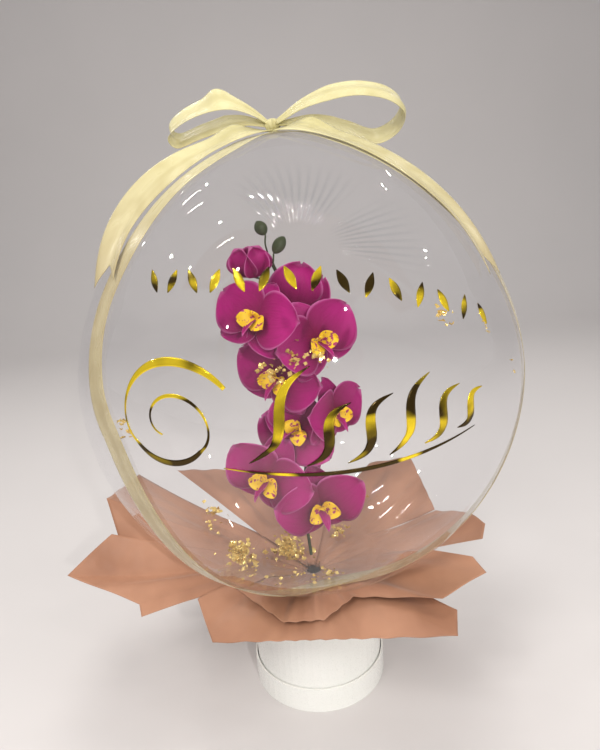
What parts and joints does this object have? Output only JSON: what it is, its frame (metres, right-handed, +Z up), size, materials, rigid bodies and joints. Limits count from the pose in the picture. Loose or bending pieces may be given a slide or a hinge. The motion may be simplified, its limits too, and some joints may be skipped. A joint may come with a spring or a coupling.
{
  "type": "bubble balloon in a hat box",
  "caption": "Clear round bubble balloon with a satin bow and gold foil strokes, standing in a small white hat box dressed with gathered blush film.",
  "frame": {"origin": "centre of the flat underside that the whole part stands on, on the hat box's axis", "axes": "+Z up, -Y towards the front with the gold strokes, +X to the right of someone who faces that front"},
  "size_m": [0.4981, 0.4503, 0.6578],
  "materials": {
    "board": "white coated paperboard, slightly glossy",
    "clear_film": "clear stretched plastic film, glossy",
    "blush_film": "matte blush wrapping film",
    "satin": "cream-yellow satin",
    "gold_foil": "mirror-gold plastic foil"
  },
  "bodies": {
    "root": {"hat_box_lid": "board", "hat_box": "board", "bubble_balloon": "clear_film", "film_sheet_front": "blush_film", "film_fold_front": "blush_film", "film_sheet_left": "blush_film", "film_sheet_left_back": "blush_film", "film_sheet_back": "blush_film", "film_sheet_back_right": "blush_film", "film_sheet_right": "blush_film", "satin_ribbon": "satin", "foil_tick_01": "gold_foil", "foil_tick_02": "gold_foil", "foil_tick_03": "gold_foil", "foil_tick_04": "gold_foil", "foil_tick_05": "gold_foil", "foil_tick_06": "gold_foil", "foil_tick_07": "gold_foil", "foil_tick_08": "gold_foil", "foil_tick_09": "gold_foil", "foil_tick_10": "gold_foil", "foil_tick_11": "gold_foil", "foil_tick_12": "gold_foil", "foil_tick_13": "gold_foil", "foil_tick_14": "gold_foil", "foil_tick_15": "gold_foil", "foil_volute": "gold_foil", "foil_stem": "gold_foil", "foil_leaf_1": "gold_foil", "foil_leaf_2": "gold_foil", "foil_leaf_3": "gold_foil", "foil_leaf_4": "gold_foil", "foil_leaf_5": "gold_foil", "foil_leaf_6": "gold_foil"}
  },
  "joints": []
}
